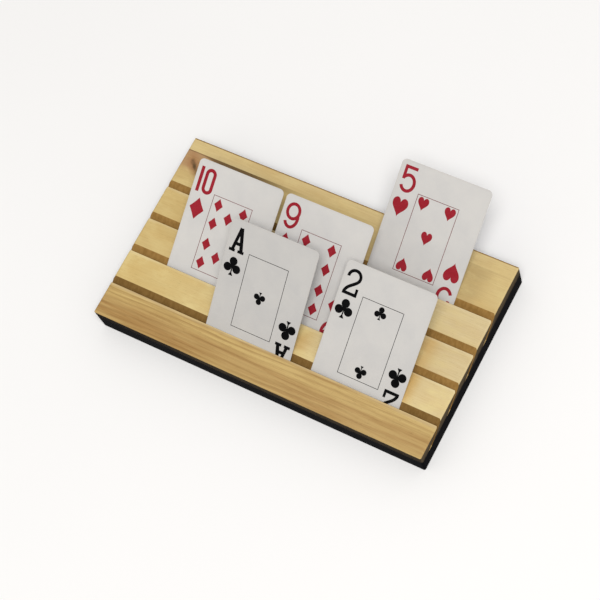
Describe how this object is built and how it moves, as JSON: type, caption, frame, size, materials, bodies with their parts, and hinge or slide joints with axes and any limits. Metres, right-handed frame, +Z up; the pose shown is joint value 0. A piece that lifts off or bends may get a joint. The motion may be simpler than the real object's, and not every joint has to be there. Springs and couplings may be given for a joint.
{
  "type": "playing card rack",
  "caption": "Low wooden rack with sloping slots that hold playing cards up for reading, with cards standing in it.",
  "frame": {"origin": "centre of the rack's flat underside", "axes": "+Z up, square to the underside; +Y from the front edge to the back edge; +X to the right along the slots, seen from the front"},
  "size_m": [0.244, 0.1674, 0.0686],
  "materials": {
    "black_base": "satin black paint",
    "pine": "smooth clear-sealed pine",
    "pine_dark": "smooth clear-sealed pine with a strong grain",
    "card_stock": "smooth coated card",
    "red_print": "red ink printed on coated card",
    "black_print": "black ink printed on coated card"
  },
  "bodies": {
    "rack": {"base_board": "black_base", "back_strip": "pine", "slat_1": "pine", "slat_2": "pine", "slat_3": "pine", "slat_4": "pine", "front_slat": "pine_dark"},
    "ten_of_diamonds": {"card_10_diamonds": "card_stock"},
    "nine_of_diamonds": {"card_9_diamonds": "card_stock"},
    "five_of_hearts": {"card_5_hearts": "card_stock"},
    "ace_of_clubs": {"card_ace_clubs": "card_stock"},
    "two_of_clubs": {"card_2_clubs": "card_stock"}
  },
  "joints": [
    {"name": "ten_lift", "type": "slide", "parent": "rack", "child": "ten_of_diamonds", "axis": [0, 0.8746, 0.4848], "range_m": [0, 0.06]},
    {"name": "nine_lift", "type": "slide", "parent": "rack", "child": "nine_of_diamonds", "axis": [0, 0.8746, 0.4848], "range_m": [0, 0.06]},
    {"name": "five_lift", "type": "slide", "parent": "rack", "child": "five_of_hearts", "axis": [0, 0.8746, 0.4848], "range_m": [0, 0.06]},
    {"name": "ace_lift", "type": "slide", "parent": "rack", "child": "ace_of_clubs", "axis": [0, 0.7955, 0.6059], "range_m": [0, 0.06]},
    {"name": "two_lift", "type": "slide", "parent": "rack", "child": "two_of_clubs", "axis": [0, 0.8746, 0.4848], "range_m": [0, 0.06]}
  ]
}
